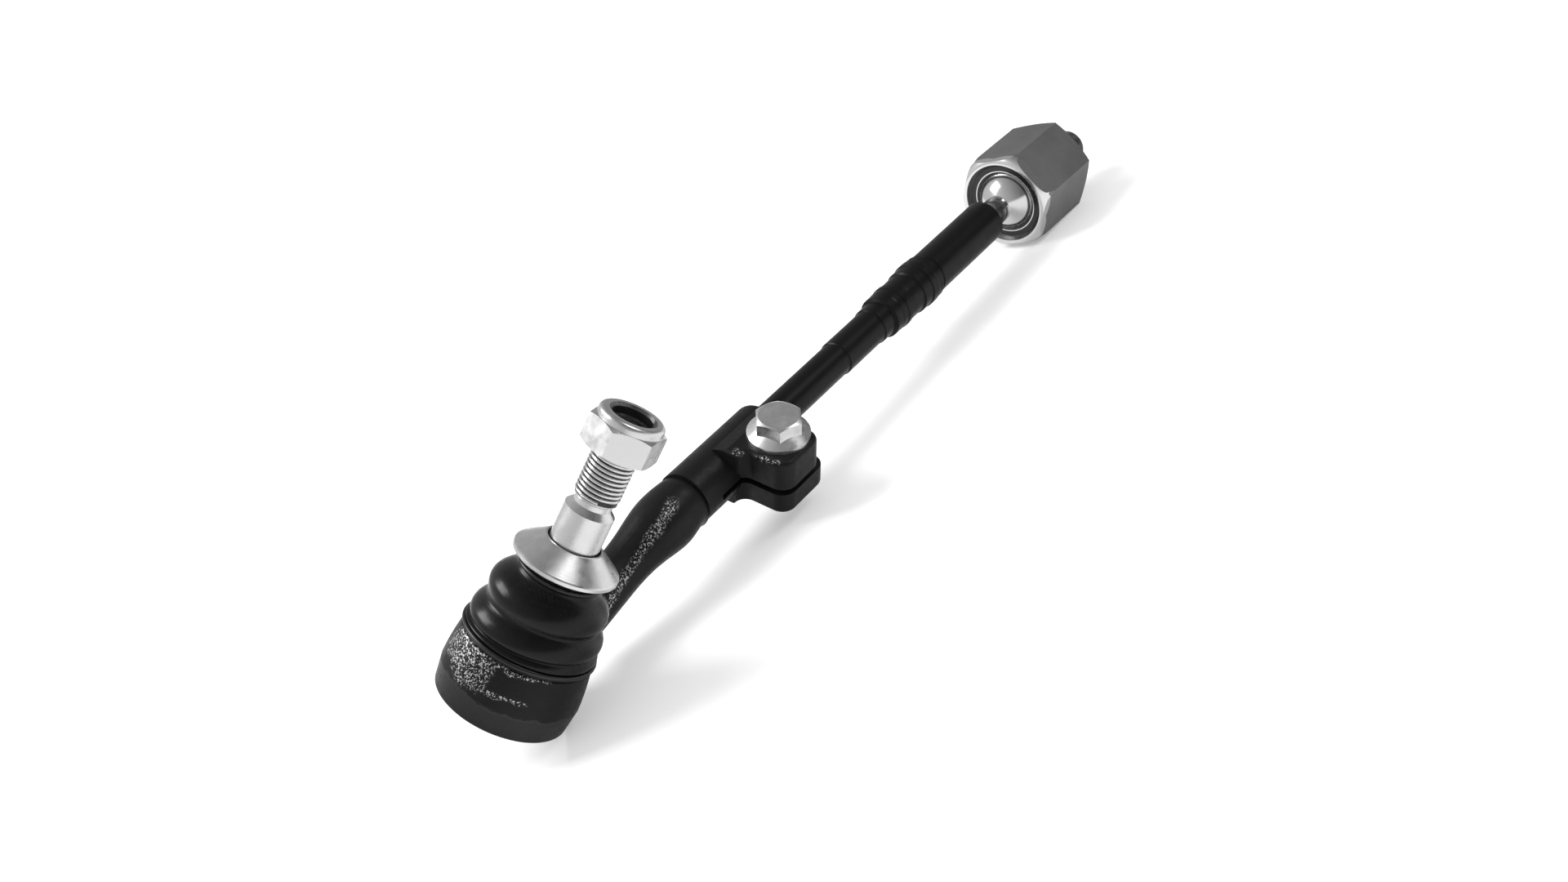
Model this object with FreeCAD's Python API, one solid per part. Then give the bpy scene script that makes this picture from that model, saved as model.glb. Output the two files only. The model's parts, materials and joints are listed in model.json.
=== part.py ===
import FreeCAD, Part
import math
import os

V = FreeCAD.Vector

# Steering tie rod: forged outer end with a ball stud, clamped on a rod whose inner end is a second ball
# joint. It is drawn along the rod, X from the outer end to the inner end, Z along the clamp bolt with its
# head up, and the ears of the clamp towards -Y. X is 0 at the clamp bolt. Then it is laid down as it rests.

# Resting attitude
REST_ROLL = 26.0            # turn about the rod that brings the ears down
HEX_TURN = 25.3             # turn of the inner housing's lower flat about the rod
REST_PITCH = 1.55           # the inner end lies lower than the outer end

# Clearances and thread
RUN = 0.05                  # radial clearance of running and threaded fits
SOFT = 0.3                  # rubber and loose pieces keep this far from moving neighbours
ARC = math.sqrt(0.5)        # middle of a quarter circle
FILLET = 1 - ARC            # middle of a quarter circle, from the corner that it rounds
OVERSHOOT = 1.0             # cutters reach this far past a face
THREAD_CHAMFER = 1.0
CHAMFER_RISE = math.tan(math.radians(30))
THREAD_R = 7.0              # M14 x 1.5, on the rod, the ball stud and the rack stud

# Clamp of the outer end
SLEEVE_R = 10.35
SLEEVE_IN = 13.0            # mouth, towards the inner end
SLEEVE_OUT = -34.0
BORE_END = -45.0
MOUTH_CHAMFER = 0.8
MOUTH_ROUND = 2.6
EAR_OUT = -13.5             # ears along X
EAR_IN_UPPER = 8.8
EAR_IN_LOWER = 11.7
EAR_REACH = 28.1            # ears across, from the rod's line
EAR_TOP = 12.9
EAR_BOTTOM = 9.6
EAR_CORNER = 5.5
EAR_EDGE = 1.6
EAR_FLARE = 4.0
EAR_ROOT = 9.5            # the flare meets the sleeve this far from the rod's line
EAR_CREST = 1.0           # the flat ends this far inside the flange's edge
SLOT = 2.4
SLOT_END = -26.0

# Clamp bolt, M10 with a flange
BOLT_R = 5.0
BOLT_Y = -15.6
BOLT_AF = 15.4
BOLT_HEAD = 8.6
BOLT_FLANGE_R = 11.2
BOLT_FLANGE = 1.5
BOLT_CONE = 2.4
BOLT_TOP_R = 7.2
BOLT_TIP = 1.5              # the tip stays this far inside the lower ear
BOLT_TURN = 7.0
HOLE_PLAY = 0.3

# Arm from the clamp to the ball joint: place along X, radius, and drop of its centre away from the stud
ARM = (
    (-34.0, 10.3, 1.4),
    (-42.0, 10.9, 1.2),
    (-48.0, 10.9, 1.6),
    (-54.0, 10.1, 2.0),
    (-61.0, 9.0, 3.6),
    (-68.0, 8.5, 5.8),
    (-75.0, 8.7, 7.4),
    (-84.0, 9.2, 9.0),
    (-94.0, 10.0, 9.4),
    (-106.0, 11.5, 9.0),
)

# Outer ball joint: its centre and the direction of its stud
OUTER_X = -120.5
OUTER_Y = -0.5
OUTER_Z = -0.2
STUD_LEAN = 29.8            # towards the inner end
STUD_SIDE = 11.8            # towards the ears
BALL_R = 13.5
SEAT_WALL = 3.4             # plastic seat around the ball
SEAT_TOP = 4.6
SEAT_BOTTOM = -14.6
CUP_WALL = 6.4              # at the widest place, around the plastic seat
CUP_FLARE = 1.4             # the shoulder is narrower
CUP_TOP = 8.2
CUP_SHOULDER = 4.0
SPIGOT_WALL = 2.7           # collar in the boot, around the plastic seat
CUP_SEAM = -10.0
CUP_BASE = -18.8
CUP_TAPER = 1.0             # the lower edge is narrower
CUP_EDGE = 1.0
CUP_MOUTH = 0.6             # the mouth is narrower than the ball
MOUTH_LOW = 7.0
CAP_STEP = 1.3              # the cap lies on a step outside the plastic seat
CAP_THICK = 2.6
CAP_LIP = 1.2               # rolled edge that holds the cap
CAP_DISH_R = 11.0
CAP_DISH = 0.8
SEAT_HOLE_R = 2.5
BALL_FLAT_R = 4.0

# Ball stud, heights from the ball's centre
STUD_NECK_R = 7.0
STUD_NECK_TOP = 16.0
STUD_SEAT_R = 9.0
STUD_SEAT = 25.0
STUD_COLLAR_R = 10.4
STUD_COLLAR = 1.6
DISH_BASE = 33.8
SHANK_R = 8.2
SHANK_TOP = 54.5
SHANK_CHAMFER = 1.0
UNDERCUT_R = 6.2
THREAD_START = 57.9
THREAD_LENGTH = 24.7

# Conical dish on the stud
DISH_R = 17.4
DISH_RIM = 1.9
DISH_TOP = 41.5
DISH_BORE_R = 8.9
DISH_EDGE = 0.4
DISH_LAND = 0.6

# Nut with a nylon ring
NUT_AF = 22.0
NUT_HEIGHT = 12.9
NUT_HEX = 10.1
NUT_WALL = 3.8              # collar, outside the thread
NUT_PROUD = 4.5             # the stud ends this far inside the nut
NUT_MOUTH = 0.9             # gap around the thread at the mouth
NYLON_WALL = 2.6
NYLON = 2.4
NYLON_LIP = 0.8
NYLON_GRIP = 0.3            # the ring is narrower than the thread
NUT_FACE_EDGE = 0.3
NUT_BEVEL = 0.55
NUT_TURN = 36.5

# Rubber boot, heights from the ball's centre
BOOT_WALL = 1.7
BOOT_NECK_R = 13.6
BOOT_NECK_LOW = 29.0
BULGE_R = 19.6
BULGE_Z = 20.6
VALLEY_R = 18.3
VALLEY_Z = 15.2
LOBE_R = 20.8
LOBE_Z = 11.9
CREASE_R = 20.7
CREASE_Z = 9.9
SKIRT_INSET = 0.2           # the boot's foot is narrower than the cup's shoulder
SKIRT_Z = 8.0
SKIRT_SWELL = 0.5
BOOT_ROOM = 1.3             # free space around the cup's shoulder
RING_WIRE = 0.75            # radius of the boot's two wire rings
BASE_RING_Z = 5.6
NECK_RING_Z = 30.9

# Rod: places along X, and radii
ROD_START = -36.8
THREAD_END = 13.8
ROD_R = 6.5
SWELL_X = 61.0
SWELL_R = 6.95
THICK_R = 8.75
THICK_X = 127.0
ROD_END = 173.8
NECK_R = 5.7
NECK_FILLET = 1.5
ROD_CHAMFER = 0.8
INNER_BALL_R = 13.5
INNER_X = 196.9
# Rolled band between the thin and the thick part: start of each step along X, and its radius
BAND = (
    (85.0, 7.4),
    (92.0, 8.55),
    (96.4, 8.65),
    (99.7, 8.95),
    (102.4, 8.5),
    (105.1, 8.55),
    (111.7, 9.15),
    (117.2, 9.6),
    (121.4, 9.3),
    (125.3, 8.3),
)
BAND_SLOPE = 0.7

# Inner ball joint: direction of its housing from the ball's centre
HOUSING_DROOP = 2.75         # its far end hangs lower than the rod's line
HOUSING_SIDE = 0.3
HEX_AF = 36.8
HOUSING_FRONT = -8.4
HOUSING_BACK = 33.4
LIP_R = 17.2
LIP_FLAT = 0.3
LIP_ROUND = 3.4
LIP_TAPER = 8.0
LIP_GRIP = 0.7
INNER_SEAT_WALL = 2.1
INNER_SEAT_FRONT = -5.2
INNER_SEAT_BACK = 14.6
RETAINER_GRIP = 0.6         # the steel ring is wider than the plastic seat
RETAINER_MOUTH = 0.4        # and its mouth narrower than the ball
RETAINER = 1.3
BACK_CHAMFER = 3.0
RACK_STUD = 19.1
RACK_RELIEF = 2.0


# Sizes that follow
SEAT_R = BALL_R + SEAT_WALL
CUP_R = SEAT_R + CUP_WALL
CUP_SHOULDER_R = CUP_R - CUP_FLARE
SKIRT_R = CUP_SHOULDER_R - SKIRT_INSET
SPIGOT_R = SEAT_R + SPIGOT_WALL
CUP_MOUTH_R = BALL_R - CUP_MOUTH
CAP_R = SEAT_R + CAP_STEP
STUD_END = THREAD_START + THREAD_LENGTH
NUT_TOP = STUD_END + NUT_PROUD
NUT_BASE = NUT_TOP - NUT_HEIGHT
NUT_HEX_TOP = NUT_BASE + NUT_HEX
NUT_COLLAR_R = THREAD_R + NUT_WALL
NUT_MOUTH_R = THREAD_R + NUT_MOUTH
NYLON_R = THREAD_R + NYLON_WALL
NYLON_BORE_R = THREAD_R - NYLON_GRIP
INNER_SEAT_R = INNER_BALL_R + INNER_SEAT_WALL
RETAINER_R = INNER_SEAT_R + RETAINER_GRIP
RETAINER_MOUTH_R = INNER_BALL_R - RETAINER_MOUTH


def outline(start, *steps):
    """Face in the XZ plane. A step is an end point, or a middle point and an end point of an arc."""
    edges = []
    here = V(start[0], 0, start[1])
    for step in steps + (start,):
        if isinstance(step[0], tuple):
            middle = V(step[0][0], 0, step[0][1])
            there = V(step[1][0], 0, step[1][1])
            edges.append(Part.Arc(here, middle, there).toShape())
        else:
            there = V(step[0], 0, step[1])
            edges.append(Part.LineSegment(here, there).toShape())
        here = there
    return Part.Face(Part.Wire(edges))


def turned(start, *steps):
    """Solid of revolution about Z. Points are radius and height."""
    return outline(start, *steps).revolve(V(0, 0, 0), V(0, 0, 1), 360)


def hexagon(across_flats, low, high, turn=0.0):
    """Six-sided prism along Z with the first flat facing +X before the turn."""
    corner_r = across_flats / math.sqrt(3)
    points = []
    for side in range(7):
        angle = math.radians(30 + 60 * side + turn)
        points.append(V(corner_r * math.cos(angle), corner_r * math.sin(angle), low))
    return Part.Face(Part.makePolygon(points)).extrude(V(0, 0, high - low))


def frame(origin, axis, side):
    """Placement whose local Z is the axis and whose local X leans to the side direction."""
    return FreeCAD.Placement(origin, FreeCAD.Rotation(side, V(0, 0, 0), axis, "ZXY"))


def leaning(lean, side):
    """Unit vector near Z that leans by one angle towards X and by another towards Y."""
    return V(math.tan(math.radians(lean)), math.tan(math.radians(side)), 1).normalize()


def heading(side, rise):
    """Unit vector near X that turns by one angle towards Y and by another towards Z."""
    return V(1, math.tan(math.radians(side)), math.tan(math.radians(rise))).normalize()


def put(shape, placement):
    """Copy of a shape, moved from its own frame to the rod's."""
    moved = shape.copy()
    moved.Placement = placement.multiply(moved.Placement)
    return moved


def steel_cup():
    """Outside of the ball cup, widest at its seam, about the ball's centre."""
    edge = CUP_EDGE
    base_r = CUP_R - CUP_TAPER
    top_r = CUP_SHOULDER_R
    shoulder = CUP_SHOULDER - edge
    half = (CUP_SEAM + shoulder) / 2
    return turned(
        (0, CUP_BASE),
        (base_r - edge, CUP_BASE),
        ((base_r - edge * FILLET, CUP_BASE + edge * FILLET), (base_r, CUP_BASE + edge)),
        (CUP_R, CUP_SEAM),
        ((CUP_R - CUP_FLARE / 3, half), (top_r, shoulder)),
        ((top_r - edge * FILLET, CUP_SHOULDER - edge * FILLET), (top_r - edge, CUP_SHOULDER)),
        (SPIGOT_R, CUP_SHOULDER),
        (SPIGOT_R, CUP_TOP),
        (0, CUP_TOP),
    )


def cup_hollow():
    """Space for the ball, its seat and the cap, open at both ends."""
    seat = SEAT_R + RUN
    cap = CAP_R + RUN
    cap_top = SEAT_BOTTOM - RUN
    cap_low = cap_top - CAP_THICK - RUN
    mouth = CUP_MOUTH_R + CUP_TOP - MOUTH_LOW
    return turned(
        (0, CUP_BASE - OVERSHOOT),
        (CAP_R, CUP_BASE - OVERSHOOT),
        (CAP_R - CAP_LIP, cap_low),
        (cap, cap_low),
        (cap, cap_top),
        (seat, cap_top),
        (seat, SEAT_TOP + RUN),
        (CUP_MOUTH_R, MOUTH_LOW),
        (mouth, CUP_TOP),
        (mouth, CUP_TOP + OVERSHOOT),
        (0, CUP_TOP + OVERSHOOT),
    )


def arm():
    """Forged arm as one smooth body through round sections."""
    rings = []
    side = math.radians(STUD_SIDE)
    for along, radius, drop in ARM:
        centre = V(along, drop * math.sin(side), -drop * math.cos(side))
        circle = Part.Circle(centre, V(1, 0, 0), radius)
        rings.append(Part.Wire([circle.toShape()]))
    return Part.makeLoft(rings, True)


def ear_plan(inner_end):
    """Outline of an ear seen along the bolt, with rounded corners and a flare into the sleeve."""
    c = EAR_CORNER
    f = EAR_FLARE
    root = -EAR_ROOT
    outer = -EAR_REACH
    far = inner_end
    near = EAR_OUT
    edges = [
        Part.LineSegment(V(far, 0, 0), V(far, outer + c, 0)),
        Part.Arc(V(far, outer + c, 0), V(far - c * FILLET, outer + c * FILLET, 0), V(far - c, outer, 0)),
        Part.LineSegment(V(far - c, outer, 0), V(near + c, outer, 0)),
        Part.Arc(V(near + c, outer, 0), V(near + c * FILLET, outer + c * FILLET, 0), V(near, outer + c, 0)),
        Part.LineSegment(V(near, outer + c, 0), V(near, root - f, 0)),
        Part.Arc(V(near, root - f, 0), V(near - f * FILLET, root - f * FILLET, 0), V(near - f, root, 0)),
        Part.LineSegment(V(near - f, root, 0), V(near - f, 0, 0)),
        Part.LineSegment(V(near - f, 0, 0), V(far, 0, 0)),
    ]
    return Part.Face(Part.Wire([edge.toShape() for edge in edges]))


def rounded_rim(block, height, reach):
    """Block whose outline at one height is rounded, as far in as the reach along Y."""
    rim = []
    for edge in block.Edges:
        box = edge.BoundBox
        level = box.ZLength < 0.01 and abs(box.ZMax - height) < 0.01
        if level and box.YMax < -0.01 and box.YMin < reach:
            rim.append(edge)
    return block.makeFillet(EAR_EDGE, rim)


def upper_ear():
    """Ear under the bolt's flange, sloping down to the sleeve beside it."""
    block = ear_plan(EAR_IN_UPPER).extrude(V(0, 0, EAR_TOP))
    crest = BOLT_Y + BOLT_FLANGE_R - EAR_CREST
    reach = math.hypot(crest, EAR_TOP)
    tangent = math.atan2(crest, EAR_TOP) + math.acos(SLEEVE_R / reach)
    touch = V(0, SLEEVE_R * math.sin(tangent), SLEEVE_R * math.cos(tangent))
    back = V(0, crest, EAR_TOP)
    over = V(0, touch.y, EAR_TOP + OVERSHOOT)
    above = V(0, crest, EAR_TOP + OVERSHOOT)
    wedge = Part.Face(Part.makePolygon([back, touch, over, above, back]))
    length = EAR_IN_UPPER - EAR_OUT + 2 * EAR_FLARE
    wedge.translate(V(EAR_IN_UPPER - length + OVERSHOOT, 0, 0))
    block = block.cut(wedge.extrude(V(length, 0, 0)))
    return rounded_rim(block, EAR_TOP, crest - 0.01)


def lower_ear():
    """Ear that the clamp bolt is screwed into."""
    block = ear_plan(EAR_IN_LOWER).extrude(V(0, 0, EAR_BOTTOM))
    block.translate(V(0, 0, -EAR_BOTTOM))
    return rounded_rim(block, -EAR_BOTTOM, -0.01)


def sleeve():
    """Round sleeve with a rounded mouth."""
    edge = MOUTH_ROUND
    shape = turned(
        (0, SLEEVE_OUT),
        (SLEEVE_R, SLEEVE_OUT),
        (SLEEVE_R, SLEEVE_IN - edge),
        ((SLEEVE_R - edge * FILLET, SLEEVE_IN - edge * FILLET), (SLEEVE_R - edge, SLEEVE_IN)),
        (0, SLEEVE_IN),
    )
    return put(shape, ROD)


def sleeve_bore():
    """Threaded hole for the rod, with a countersunk mouth and a drilled point."""
    bore = THREAD_R + RUN
    shape = turned(
        (0, BORE_END - bore / 2),
        (bore, BORE_END),
        (bore, SLEEVE_IN - MOUTH_CHAMFER),
        (bore + MOUTH_CHAMFER + OVERSHOOT, SLEEVE_IN + OVERSHOOT),
        (0, SLEEVE_IN + OVERSHOOT),
    )
    return put(shape, ROD)


def boot_room():
    """Turned seat of the boot around the cup's collar, and free space above it."""
    room = CUP_SHOULDER_R + BOOT_ROOM
    shape = turned(
        (0, CUP_TOP),
        (SPIGOT_R, CUP_TOP),
        (SPIGOT_R, CUP_SHOULDER),
        (room, CUP_SHOULDER),
        (room, DISH_BASE),
        (0, DISH_BASE),
    )
    return put(shape, OUTER)


def outer_housing():
    """Forging of the outer end: ball cup, arm, sleeve and split clamp in one piece."""
    body = put(steel_cup(), OUTER).multiFuse([arm(), sleeve(), upper_ear(), lower_ear()])
    over = OVERSHOOT
    corner = V(SLOT_END, -EAR_REACH - over, -SLOT / 2)
    slot = Part.makeBox(SLEEVE_IN + over - SLOT_END, EAR_REACH + over, SLOT, corner)
    hole = Part.makeCylinder(BOLT_R + HOLE_PLAY, EAR_TOP + over, V(0, BOLT_Y, 0))
    thread = Part.makeCylinder(BOLT_R + RUN, EAR_BOTTOM + over, V(0, BOLT_Y, -EAR_BOTTOM - over))
    return body.cut([put(cup_hollow(), OUTER), boot_room(), sleeve_bore(), slot, hole, thread])


def closing_cap():
    """Pressed disc that closes the cup from below."""
    top = SEAT_BOTTOM - 2 * RUN
    low = top - CAP_THICK + RUN
    shape = turned(
        (0, low - CAP_DISH),
        (CAP_DISH_R, low - CAP_DISH),
        (CAP_DISH_R + CAP_DISH, low),
        (CAP_R, low),
        (CAP_R, top),
        (0, top),
    )
    return put(shape, OUTER)


def outer_seat():
    """Plastic seat of the outer ball."""
    ball = BALL_R + RUN
    opening = math.sqrt(ball ** 2 - SEAT_TOP ** 2)
    floor = -math.sqrt(ball ** 2 - SEAT_HOLE_R ** 2)
    shape = turned(
        (SEAT_HOLE_R, SEAT_BOTTOM),
        (SEAT_R, SEAT_BOTTOM),
        (SEAT_R, SEAT_TOP),
        (opening, SEAT_TOP),
        ((ball, 0), (SEAT_HOLE_R, floor)),
    )
    return put(shape, OUTER)


def ball_stud():
    """Ball, tapered neck, collar, shank and thread in one turning."""
    neck = math.sqrt(BALL_R ** 2 - STUD_NECK_R ** 2)
    flat = -math.sqrt(BALL_R ** 2 - BALL_FLAT_R ** 2)
    chamfer = THREAD_CHAMFER
    shape = turned(
        (0, flat),
        (BALL_FLAT_R, flat),
        ((BALL_R, 0), (STUD_NECK_R, neck)),
        (STUD_NECK_R, STUD_NECK_TOP),
        (STUD_SEAT_R, STUD_SEAT),
        (STUD_SEAT_R, DISH_BASE - STUD_COLLAR),
        (STUD_COLLAR_R, DISH_BASE - STUD_COLLAR),
        (STUD_COLLAR_R, DISH_BASE),
        (SHANK_R, DISH_BASE),
        (SHANK_R, SHANK_TOP - SHANK_CHAMFER),
        (SHANK_R - SHANK_CHAMFER, SHANK_TOP),
        (UNDERCUT_R, SHANK_TOP + SHANK_CHAMFER),
        (UNDERCUT_R, THREAD_START - THREAD_R + UNDERCUT_R),
        (THREAD_R, THREAD_START),
        (THREAD_R, STUD_END - chamfer),
        (THREAD_R - chamfer, STUD_END),
        (0, STUD_END),
    )
    return put(shape, OUTER)


def stud_dish():
    """Conical dish that lies on the stud's collar."""
    base = DISH_BASE + RUN
    edge = DISH_EDGE
    shape = turned(
        (DISH_BORE_R, base),
        (DISH_R - edge, base),
        (DISH_R, base + edge),
        (DISH_R, base + DISH_RIM - edge),
        (DISH_R - edge, base + DISH_RIM),
        (DISH_BORE_R + DISH_LAND, DISH_TOP),
        (DISH_BORE_R, DISH_TOP),
    )
    return put(shape, OUTER)


def boot():
    """Rubber bellows between the cup and the stud, with a groove for each wire ring."""
    foot = SPIGOT_R + RUN
    neck = STUD_SEAT_R + SOFT
    top = DISH_BASE - STUD_COLLAR - SOFT
    base = CUP_SHOULDER + RUN
    wall = BOOT_WALL
    ring = RING_WIRE + RUN
    base_groove = SKIRT_R - RING_WIRE
    neck_groove = BOOT_NECK_R - RING_WIRE
    shape = turned(
        (foot, base),
        (SKIRT_R, base),
        (SKIRT_R, BASE_RING_Z - ring),
        (base_groove, BASE_RING_Z - ring),
        (base_groove, BASE_RING_Z + ring),
        (SKIRT_R, BASE_RING_Z + ring),
        ((SKIRT_R + SKIRT_SWELL, SKIRT_Z), (CREASE_R, CREASE_Z)),
        ((LOBE_R, LOBE_Z), (VALLEY_R, VALLEY_Z)),
        ((BULGE_R, BULGE_Z), (BOOT_NECK_R, BOOT_NECK_LOW)),
        (neck_groove, NECK_RING_Z - ring),
        (neck_groove, NECK_RING_Z + ring),
        (BOOT_NECK_R, NECK_RING_Z + ring),
        (BOOT_NECK_R, top),
        (neck, top),
        (neck, BOOT_NECK_LOW - wall),
        ((BULGE_R - wall, BULGE_Z), (VALLEY_R - wall, VALLEY_Z)),
        ((LOBE_R - wall, LOBE_Z), (CREASE_R - wall, CREASE_Z)),
        (foot, CUP_TOP + SOFT),
    )
    return put(shape, OUTER)


def wire_ring(radius, height):
    """Round wire ring in its groove on the boot."""
    shape = Part.makeTorus(radius + RUN, RING_WIRE, V(0, 0, height))
    return put(shape, OUTER)


def stud_nut():
    """Locking nut: hexagon with a round collar that holds the nylon ring."""
    corner_r = NUT_AF / math.sqrt(3)
    hexed = hexagon(NUT_AF, NUT_BASE, NUT_HEX_TOP, NUT_TURN)
    bevel = corner_r - NUT_AF / 2
    envelope = turned(
        (0, NUT_BASE),
        (NUT_AF / 2 - NUT_FACE_EDGE, NUT_BASE),
        (corner_r, NUT_BASE + bevel * NUT_BEVEL),
        (corner_r, NUT_HEX_TOP - bevel * NUT_BEVEL),
        (NUT_AF / 2 - NUT_FACE_EDGE, NUT_HEX_TOP),
        (0, NUT_HEX_TOP),
    )
    edge = (NUT_COLLAR_R - NUT_MOUTH_R) / 2
    collar = turned(
        (0, NUT_HEX_TOP - OVERSHOOT),
        (NUT_COLLAR_R, NUT_HEX_TOP - OVERSHOOT),
        (NUT_COLLAR_R, NUT_TOP - edge),
        ((NUT_COLLAR_R - edge * FILLET, NUT_TOP - edge * FILLET), (NUT_COLLAR_R - edge, NUT_TOP)),
        (0, NUT_TOP),
    )
    thread = THREAD_R + RUN
    nylon_top = NUT_TOP - NYLON_LIP
    hole = turned(
        (0, NUT_BASE - OVERSHOOT),
        (thread + THREAD_CHAMFER + OVERSHOOT, NUT_BASE - OVERSHOOT),
        (thread, NUT_BASE + THREAD_CHAMFER),
        (thread, nylon_top - NYLON),
        (NYLON_R, nylon_top - NYLON),
        (NYLON_R, nylon_top),
        (NUT_MOUTH_R, nylon_top),
        (NUT_MOUTH_R, NUT_TOP + OVERSHOOT),
        (0, NUT_TOP + OVERSHOOT),
    )
    return put(hexed.common(envelope).fuse(collar).cut(hole), OUTER)


def nylon_ring():
    """Nylon ring inside the nut's collar."""
    top = NUT_TOP - NYLON_LIP
    shape = turned(
        (NYLON_BORE_R, top - NYLON),
        (NYLON_R, top - NYLON),
        (NYLON_R, top),
        (NYLON_BORE_R, top),
    )
    return put(shape, OUTER)


def clamp_bolt():
    """Hexagon bolt with a flange, screwed into the lower ear."""
    flange = turned(
        (0, 0),
        (BOLT_FLANGE_R, 0),
        (BOLT_FLANGE_R, BOLT_FLANGE),
        (BOLT_AF / 2, BOLT_FLANGE + BOLT_CONE),
        (0, BOLT_FLANGE + BOLT_CONE),
    )
    corner_r = BOLT_AF / math.sqrt(3)
    envelope = turned(
        (0, 0),
        (corner_r, 0),
        (corner_r, BOLT_HEAD - (corner_r - BOLT_TOP_R) * CHAMFER_RISE),
        (BOLT_TOP_R, BOLT_HEAD),
        (0, BOLT_HEAD),
    )
    head = hexagon(BOLT_AF, 0, BOLT_HEAD, BOLT_TURN).common(envelope)
    tip = BOLT_TIP - EAR_TOP - EAR_BOTTOM
    shank = turned(
        (0, tip),
        (BOLT_R - THREAD_CHAMFER, tip),
        (BOLT_R, tip + THREAD_CHAMFER),
        (BOLT_R, 0),
        (0, 0),
    )
    bolt = flange.multiFuse([head, shank])
    bolt.translate(V(0, BOLT_Y, EAR_TOP))
    return bolt


def tie_rod():
    """Rod with its thread, rolled band, thick end, neck and ball in one piece."""
    ball_start = INNER_X - math.sqrt(INNER_BALL_R ** 2 - NECK_R ** 2)
    ball_back = INNER_X + math.sqrt(INNER_BALL_R ** 2 - BALL_FLAT_R ** 2)
    fillet = NECK_FILLET
    steps = []
    radius = SWELL_R
    for along, next_radius in BAND:
        steps.append((radius, along - BAND_SLOPE / 2))
        steps.append((next_radius, along + BAND_SLOPE / 2))
        radius = next_radius
    shape = turned(
        (0, ROD_START),
        (THREAD_R - THREAD_CHAMFER, ROD_START),
        (THREAD_R, ROD_START + THREAD_CHAMFER),
        (THREAD_R, THREAD_END),
        (ROD_R, THREAD_END + THREAD_R - ROD_R),
        (ROD_R, SWELL_X),
        (SWELL_R, SWELL_X + SWELL_R - ROD_R),
        *steps,
        (radius, THICK_X - BAND_SLOPE),
        (THICK_R, THICK_X),
        (THICK_R, ROD_END - ROD_CHAMFER),
        (THICK_R - ROD_CHAMFER, ROD_END),
        (NECK_R + fillet, ROD_END),
        ((NECK_R + fillet * FILLET, ROD_END + fillet * FILLET), (NECK_R, ROD_END + fillet)),
        (NECK_R, ball_start),
        ((INNER_BALL_R, INNER_X), (BALL_FLAT_R, ball_back)),
        (0, ball_back),
    )
    return put(shape, ROD)


def inner_seat():
    """Plastic seat of the inner ball, closed behind it."""
    ball = INNER_BALL_R + RUN
    opening = math.sqrt(ball ** 2 - INNER_SEAT_FRONT ** 2)
    middle = (ball * math.sin(0.8), ball * math.cos(0.8))
    shape = turned(
        (0, INNER_SEAT_BACK),
        (0, ball),
        (middle, (opening, INNER_SEAT_FRONT)),
        (INNER_SEAT_R, INNER_SEAT_FRONT),
        (INNER_SEAT_R, INNER_SEAT_BACK),
    )
    return put(shape, INNER)


def retaining_ring():
    """Steel ring that keeps the plastic seat in, under the housing's rolled lip."""
    back = INNER_SEAT_FRONT - RUN
    shape = turned(
        (RETAINER_MOUTH_R, back),
        (RETAINER_MOUTH_R, back - RETAINER),
        (RETAINER_R, back - RETAINER),
        (RETAINER_R, back),
    )
    return put(shape, INNER)


def inner_housing():
    """Hexagonal housing with a rolled lip in front and the rack stud behind."""
    corner_r = HEX_AF / math.sqrt(3)
    lip = LIP_ROUND
    envelope = turned(
        (0, HOUSING_FRONT),
        (LIP_R, HOUSING_FRONT),
        ((LIP_R + lip * ARC, HOUSING_FRONT + lip * FILLET), (LIP_R + lip, HOUSING_FRONT + lip)),
        (corner_r, HOUSING_FRONT + LIP_TAPER),
        (corner_r, HOUSING_BACK - BACK_CHAMFER),
        (corner_r - BACK_CHAMFER / CHAMFER_RISE, HOUSING_BACK),
        (0, HOUSING_BACK),
    )
    body = hexagon(HEX_AF, HOUSING_FRONT, HOUSING_BACK).common(envelope)
    end = HOUSING_BACK + RACK_STUD
    stud = turned(
        (0, HOUSING_BACK - OVERSHOOT),
        (UNDERCUT_R, HOUSING_BACK - OVERSHOOT),
        (UNDERCUT_R, HOUSING_BACK + RACK_RELIEF),
        (THREAD_R, HOUSING_BACK + RACK_RELIEF + THREAD_R - UNDERCUT_R),
        (THREAD_R, end - THREAD_CHAMFER),
        (THREAD_R - THREAD_CHAMFER, end),
        (0, end),
    )
    seat = INNER_SEAT_R + RUN
    ring = RETAINER_R + RUN
    ring_back = INNER_SEAT_FRONT
    ring_front = INNER_SEAT_FRONT - RETAINER - 2 * RUN
    hollow = turned(
        (0, HOUSING_FRONT - OVERSHOOT),
        (LIP_R - LIP_FLAT, HOUSING_FRONT - OVERSHOOT),
        (LIP_R - LIP_FLAT, HOUSING_FRONT),
        (RETAINER_R - LIP_GRIP, ring_front),
        (ring, ring_front),
        (ring, ring_back),
        (seat, ring_back),
        (seat, INNER_SEAT_BACK + RUN),
        (0, INNER_SEAT_BACK + RUN + seat / 4),
    )
    return put(body.fuse(stud).cut(hollow), INNER)


def resting_place(shapes):
    """Placement that lays the rod's frame on the ground, with the origin under the middle of the part."""
    turn = FreeCAD.Rotation(V(0, 1, 0), REST_PITCH).multiply(FreeCAD.Rotation(V(1, 0, 0), REST_ROLL))
    box = FreeCAD.BoundBox()
    for shape in shapes:
        laid = put(shape, FreeCAD.Placement(V(0, 0, 0), turn))
        box.add(laid.optimalBoundingBox(False))
    return FreeCAD.Placement(V(-box.Center.x, -box.Center.y, -box.ZMin), turn)


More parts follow.
